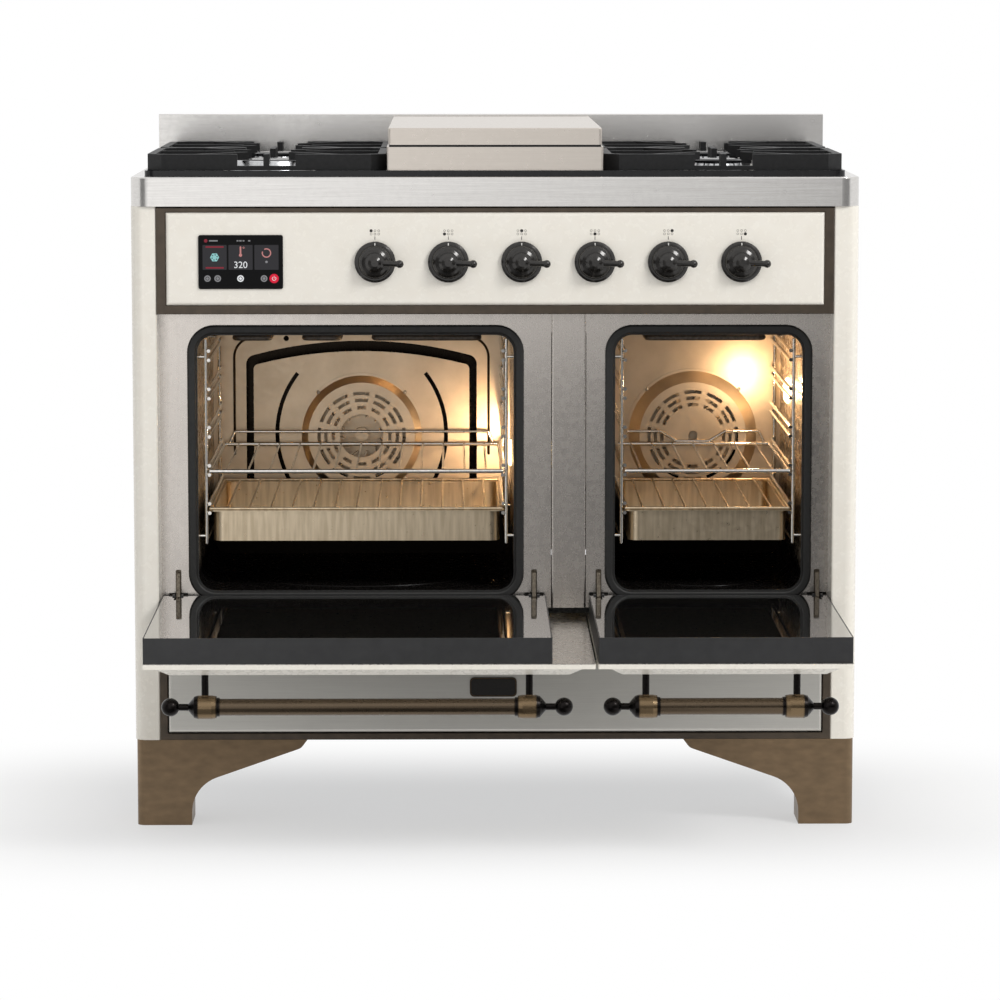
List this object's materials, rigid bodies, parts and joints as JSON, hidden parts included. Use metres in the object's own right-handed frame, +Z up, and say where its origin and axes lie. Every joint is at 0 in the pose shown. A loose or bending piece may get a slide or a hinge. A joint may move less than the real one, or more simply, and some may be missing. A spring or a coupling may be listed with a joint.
{
  "type": "range cooker",
  "caption": "Free-standing range cooker with two drop-door ovens, gas hob, griddle, touch display, storage drawer and bracket feet.",
  "frame": {"origin": "on the floor, centred in plan under the cooker as it stands with both doors open", "axes": "+Z up, +X to the right as seen from the front, +Y from the doors towards the wall"},
  "size_m": [1, 0.979, 0.969],
  "materials": {
    "cream_enamel": "glossy cream enamel",
    "galvanised_steel": "dull galvanised sheet",
    "bronze_paint": "satin dark bronze",
    "bronze_metal": "burnished dark bronze",
    "stainless": "brushed stainless",
    "chromed_wire": "bright chrome plate",
    "black_rubber": "matte black seal",
    "glass_wool": "glass wool blanket",
    "dark_glass": "dark coated glass",
    "lamp_glass": "clear ribbed lens",
    "graphite_paint": "satin graphite",
    "brass": "plain brass",
    "black_enamel": "glossy black enamel",
    "burner_alloy": "cast aluminium, bright ring",
    "cast_iron": "matte black enamelled iron",
    "knob_black": "antique black"
  },
  "bodies": {
    "body": {"back_panel": "galvanised_steel", "backguard": "stainless", "base_pan": "galvanised_steel", "burner_bases": "burner_alloy", "burner_caps": "cast_iron", "control_fascia": "cream_enamel", "door_gaskets": "black_rubber", "fan_baffles": "stainless", "fan_covers": "stainless", "fan_motors": "galvanised_steel", "fascia_trim": "bronze_paint", "front_legs": "bronze_paint", "gas_manifold": "brass", "griddle_plate": "stainless", "hinge_receivers": "stainless", "hob_top": "stainless", "hob_tray": "black_enamel", "insulation": "glass_wool", "lower_trim": "bronze_paint", "oven_elements": "stainless", "oven_front_centre": "stainless", "oven_front_left": "stainless", "oven_front_right": "stainless", "oven_lamps": "lamp_glass", "oven_liner_left": "stainless", "oven_liner_right": "stainless", "rear_feet": "galvanised_steel", "shelf_guides": "chromed_wire", "side_panel_left": "cream_enamel", "side_panel_right": "cream_enamel", "touch_display": "dark_glass"},
    "door_left": {"door_left_panel": "cream_enamel", "door_left_frame": "graphite_paint", "door_left_glass": "dark_glass", "door_left_window": "dark_glass", "door_left_handle": "bronze_metal"},
    "fan_left_body": {"fan_left": "stainless"},
    "shelf_left_body": {"wire_shelf_left": "chromed_wire"},
    "tray_left_body": {"drip_tray_left": "stainless"},
    "door_right": {"door_right_panel": "cream_enamel", "door_right_frame": "graphite_paint", "door_right_glass": "dark_glass", "door_right_window": "dark_glass", "door_right_handle": "bronze_metal"},
    "fan_right_body": {"fan_right": "stainless"},
    "shelf_right_body": {"wire_shelf_right": "chromed_wire"},
    "tray_right_body": {"drip_tray_right": "stainless"},
    "knob_1_body": {"knob_1": "knob_black"},
    "knob_2_body": {"knob_2": "knob_black"},
    "knob_3_body": {"knob_3": "knob_black"},
    "knob_4_body": {"knob_4": "knob_black"},
    "knob_5_body": {"knob_5": "knob_black"},
    "knob_6_body": {"knob_6": "knob_black"},
    "support_left_front_body": {"pan_support_left_front": "cast_iron"},
    "support_left_rear_body": {"pan_support_left_rear": "cast_iron"},
    "support_right_front_body": {"pan_support_right_front": "cast_iron"},
    "support_right_rear_body": {"pan_support_right_rear": "cast_iron"},
    "lid_body": {"griddle_lid": "stainless"},
    "drawer": {"drawer_box": "galvanised_steel", "drawer_front": "cream_enamel"}
  },
  "joints": [
    {"name": "door_left_hinge", "type": "hinge", "parent": "body", "child": "door_left", "pos_m": [-0.1935, -0.0895, 0.308], "axis": [1, 0, 0], "range_deg": [-90, 0]},
    {"name": "shelf_left_slide", "type": "slide", "parent": "body", "child": "shelf_left_body", "axis": [0, -1, 0], "range_m": [0, 0.3]},
    {"name": "tray_left_slide", "type": "slide", "parent": "body", "child": "tray_left_body", "axis": [0, -1, 0], "range_m": [0, 0.3]},
    {"name": "fan_left_spin", "type": "hinge", "parent": "body", "child": "fan_left_body", "pos_m": [-0.1935, 0.3595, 0.499], "axis": [0, 1, 0], "continuous": true},
    {"name": "door_right_hinge", "type": "hinge", "parent": "body", "child": "door_right", "pos_m": [0.297, -0.0895, 0.308], "axis": [1, 0, 0], "range_deg": [-90, 0]},
    {"name": "shelf_right_slide", "type": "slide", "parent": "body", "child": "shelf_right_body", "axis": [0, -1, 0], "range_m": [0, 0.3]},
    {"name": "tray_right_slide", "type": "slide", "parent": "body", "child": "tray_right_body", "axis": [0, -1, 0], "range_m": [0, 0.3]},
    {"name": "fan_right_spin", "type": "hinge", "parent": "body", "child": "fan_right_body", "pos_m": [0.297, 0.3595, 0.499], "axis": [0, 1, 0], "continuous": true},
    {"name": "knob_1_turn", "type": "hinge", "parent": "body", "child": "knob_1_body", "pos_m": [-0.165, -0.1305, 0.784], "axis": [0, 1, 0], "range_deg": [-240, 0]},
    {"name": "knob_2_turn", "type": "hinge", "parent": "body", "child": "knob_2_body", "pos_m": [-0.0645, -0.1305, 0.784], "axis": [0, 1, 0], "range_deg": [-240, 0]},
    {"name": "knob_3_turn", "type": "hinge", "parent": "body", "child": "knob_3_body", "pos_m": [0.036, -0.1305, 0.784], "axis": [0, 1, 0], "range_deg": [-240, 0]},
    {"name": "knob_4_turn", "type": "hinge", "parent": "body", "child": "knob_4_body", "pos_m": [0.1365, -0.1305, 0.784], "axis": [0, 1, 0], "range_deg": [-240, 0]},
    {"name": "knob_5_turn", "type": "hinge", "parent": "body", "child": "knob_5_body", "pos_m": [0.237, -0.1305, 0.784], "axis": [0, 1, 0], "range_deg": [-240, 0]},
    {"name": "knob_6_turn", "type": "hinge", "parent": "body", "child": "knob_6_body", "pos_m": [0.3375, -0.1305, 0.784], "axis": [0, 1, 0], "range_deg": [-240, 0]},
    {"name": "support_left_front_lift", "type": "slide", "parent": "body", "child": "support_left_front_body", "axis": [0, 0, 1], "range_m": [0, 0.25]},
    {"name": "support_left_rear_lift", "type": "slide", "parent": "body", "child": "support_left_rear_body", "axis": [0, 0, 1], "range_m": [0, 0.25]},
    {"name": "support_right_front_lift", "type": "slide", "parent": "body", "child": "support_right_front_body", "axis": [0, 0, 1], "range_m": [0, 0.25]},
    {"name": "support_right_rear_lift", "type": "slide", "parent": "body", "child": "support_right_rear_body", "axis": [0, 0, 1], "range_m": [0, 0.25]},
    {"name": "lid_lift", "type": "slide", "parent": "body", "child": "lid_body", "axis": [0, 0, 1], "range_m": [0, 0.25]},
    {"name": "drawer_slide", "type": "slide", "parent": "body", "child": "drawer", "axis": [0, -1, 0], "range_m": [0, 0.28]}
  ]
}
